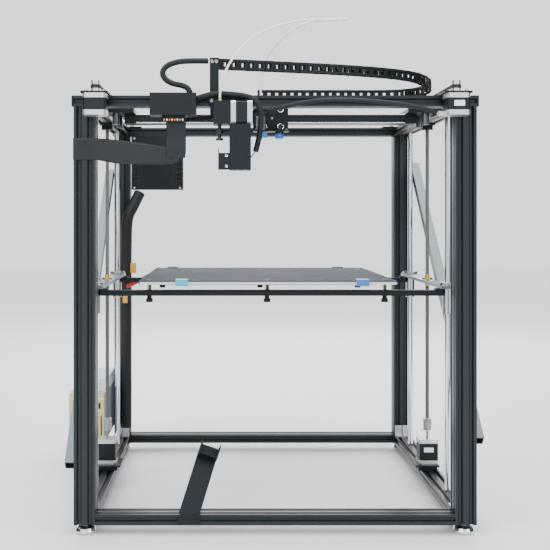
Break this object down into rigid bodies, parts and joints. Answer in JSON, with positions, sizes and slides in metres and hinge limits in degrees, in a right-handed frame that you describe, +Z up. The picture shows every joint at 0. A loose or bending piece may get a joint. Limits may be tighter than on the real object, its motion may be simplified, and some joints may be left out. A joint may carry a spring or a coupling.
{
  "type": "fused filament 3-D printer",
  "caption": "Open-frame 3-D printer: black extrusion frame, belt-driven gantry with tool carriage, screw-lifted square bed, cable chain, feed tube and outside power box.",
  "frame": {"origin": "on the floor, under the middle of the machine's overall box", "axes": "+X across to the right seen from the front, +Y from the front towards the rear, +Z up"},
  "size_m": [0.852, 0.746, 0.9819],
  "materials": {
    "black_profile": "black anodised, satin",
    "chrome": "polished",
    "steel": "brushed",
    "screw_steel": "dull, oiled",
    "silver": "satin",
    "black_metal": "black powder coat",
    "black_plastic": "matte",
    "motor": "black with silver end bells",
    "zinc": "yellow zinc",
    "blue_aluminium": "blue-grey anodised",
    "brass": "satin",
    "bed_silver": "satin",
    "slate": "fine matte coating",
    "blue_silicone": "matte",
    "braid": "braided sleeve",
    "wire": "matte",
    "red_wire": "matte",
    "ptfe": "milky tube",
    "clip": "blue and cyan",
    "belt": "ribbed belt"
  },
  "bodies": {
    "frame": {"corner_posts": "black_profile", "frame_beams": "black_profile", "end_caps": "black_plastic", "levelling_feet": "chrome", "side_braces": "silver", "smooth_rods": "chrome", "lift_motors": "motor", "screw_supports": "black_metal", "belt_motors": "motor", "corner_plates": "black_metal", "frame_belts": "belt", "power_supply": "zinc", "controller_box": "black_plastic", "junction_box": "black_plastic", "front_bracket": "black_metal", "extruder_body": "black_plastic", "tube_fittings": "brass", "extruder_motor": "motor", "extruder_cover": "black_metal", "spool_arm": "black_metal", "ribbon_cable": "wire", "sleeve_to_chain": "braid", "sleeve_to_cover": "braid", "motor_lead": "braid", "cable_harness": "wire", "chain_front_run": "black_plastic", "tube_front_half": "ptfe"},
    "lead_screw_left": {"lead_screw_left": "screw_steel"},
    "lead_screw_right": {"lead_screw_right": "screw_steel"},
    "drive_pulley_left": {"drive_pulley_left": "silver"},
    "drive_pulley_right": {"drive_pulley_right": "silver"},
    "extruder_gear": {"extruder_gear": "brass"},
    "gantry": {"cross_rail": "black_profile", "gantry_brackets": "black_metal", "gantry_belts": "belt"},
    "carriage": {"carriage_plate": "black_metal", "hot_end": "silver", "heater_sock": "blue_silicone", "bed_probe": "black_plastic", "chain_rear_run": "black_plastic", "tube_rear_half": "ptfe"},
    "platform": {"side_plates": "blue_aluminium", "rod_bearings": "steel", "lead_nuts": "brass", "cross_bars": "black_plastic", "heated_bed": "bed_silver", "build_surface": "slate", "bed_springs": "steel", "bed_clips": "clip", "heater_cable": "red_wire"},
    "wheel_lower_left": {"wheel_lower_left": "steel"},
    "wheel_lower_right": {"wheel_lower_right": "steel"},
    "wheel_upper_left": {"wheel_upper_left": "steel"},
    "wheel_upper_right": {"wheel_upper_right": "steel"},
    "knob_front_left": {"knob_front_left": "black_plastic"},
    "knob_front_middle": {"knob_front_middle": "black_plastic"},
    "knob_front_right": {"knob_front_right": "black_plastic"},
    "knob_rear_left": {"knob_rear_left": "black_plastic"},
    "knob_rear_middle": {"knob_rear_middle": "black_plastic"},
    "knob_rear_right": {"knob_rear_right": "black_plastic"}
  },
  "joints": [
    {"name": "bed_lift", "type": "slide", "parent": "frame", "child": "platform", "axis": [0, 0, 1], "range_m": [-0.28, 0.275], "deforming": ["heater_cable"]},
    {"name": "gantry_y", "type": "slide", "parent": "frame", "child": "gantry", "axis": [0, 1, 0], "range_m": [-0.11, 0.385], "deforming": ["chain_front_run", "tube_front_half"]},
    {"name": "carriage_x", "type": "slide", "parent": "gantry", "child": "carriage", "axis": [1, 0, 0], "range_m": [-0.235, 0.23], "deforming": ["chain_rear_run", "tube_rear_half"]},
    {"name": "screw_left", "type": "hinge", "parent": "frame", "child": "lead_screw_left", "pos_m": [-0.322, 0.023, 0.4], "axis": [0, 0, 1], "range_deg": [-12800, 12800]},
    {"name": "pulley_left", "type": "hinge", "parent": "frame", "child": "drive_pulley_left", "pos_m": [-0.298, -0.351, 0.83], "axis": [0, 0, 1], "range_deg": [-2900, 2900]},
    {"name": "screw_right", "type": "hinge", "parent": "frame", "child": "lead_screw_right", "pos_m": [0.386, 0.023, 0.4], "axis": [0, 0, 1], "range_deg": [-12800, 12800]},
    {"name": "pulley_right", "type": "hinge", "parent": "frame", "child": "drive_pulley_right", "pos_m": [0.362, -0.351, 0.83], "axis": [0, 0, 1], "range_deg": [-2900, 2900]},
    {"name": "roll_lower_left", "type": "hinge", "parent": "carriage", "child": "wheel_lower_left", "pos_m": [0.018, -0.137, 0.7761], "axis": [0, 1, 0], "range_deg": [-1900, 1900]},
    {"name": "roll_lower_right", "type": "hinge", "parent": "carriage", "child": "wheel_lower_right", "pos_m": [0.052, -0.137, 0.7761], "axis": [0, 1, 0], "range_deg": [-1900, 1900]},
    {"name": "roll_upper_left", "type": "hinge", "parent": "carriage", "child": "wheel_upper_left", "pos_m": [0.018, -0.137, 0.8119], "axis": [0, 1, 0], "range_deg": [-1900, 1900]},
    {"name": "roll_upper_right", "type": "hinge", "parent": "carriage", "child": "wheel_upper_right", "pos_m": [0.052, -0.137, 0.8119], "axis": [0, 1, 0], "range_deg": [-1900, 1900]},
    {"name": "gear_turn", "type": "hinge", "parent": "frame", "child": "extruder_gear", "pos_m": [-0.068, -0.35135, 0.782], "axis": [1, 0, 0], "continuous": true},
    {"name": "turn_front_left", "type": "hinge", "parent": "platform", "child": "knob_front_left", "pos_m": [-0.213, -0.178, 0.43], "axis": [0, 0, 1], "continuous": true},
    {"name": "turn_front_middle", "type": "hinge", "parent": "platform", "child": "knob_front_middle", "pos_m": [0.023, -0.178, 0.43], "axis": [0, 0, 1], "continuous": true},
    {"name": "turn_front_right", "type": "hinge", "parent": "platform", "child": "knob_front_right", "pos_m": [0.259, -0.178, 0.43], "axis": [0, 0, 1], "continuous": true},
    {"name": "turn_rear_left", "type": "hinge", "parent": "platform", "child": "knob_rear_left", "pos_m": [-0.213, 0.224, 0.43], "axis": [0, 0, 1], "continuous": true},
    {"name": "turn_rear_middle", "type": "hinge", "parent": "platform", "child": "knob_rear_middle", "pos_m": [0.023, 0.224, 0.43], "axis": [0, 0, 1], "continuous": true},
    {"name": "turn_rear_right", "type": "hinge", "parent": "platform", "child": "knob_rear_right", "pos_m": [0.259, 0.224, 0.43], "axis": [0, 0, 1], "continuous": true}
  ],
  "couplings": [
    {"joint": "screw_left", "follows": "bed_lift", "rad_per_m": -785.4},
    {"joint": "pulley_left", "follows": "gantry_y", "rad_per_m": -123.46},
    {"joint": "screw_right", "follows": "bed_lift", "rad_per_m": -785.4},
    {"joint": "pulley_right", "follows": "gantry_y", "rad_per_m": 123.46},
    {"joint": "roll_lower_left", "follows": "carriage_x", "rad_per_m": -135.13},
    {"joint": "roll_lower_right", "follows": "carriage_x", "rad_per_m": -135.13},
    {"joint": "roll_upper_left", "follows": "carriage_x", "rad_per_m": 135.13},
    {"joint": "roll_upper_right", "follows": "carriage_x", "rad_per_m": 135.13}
  ]
}
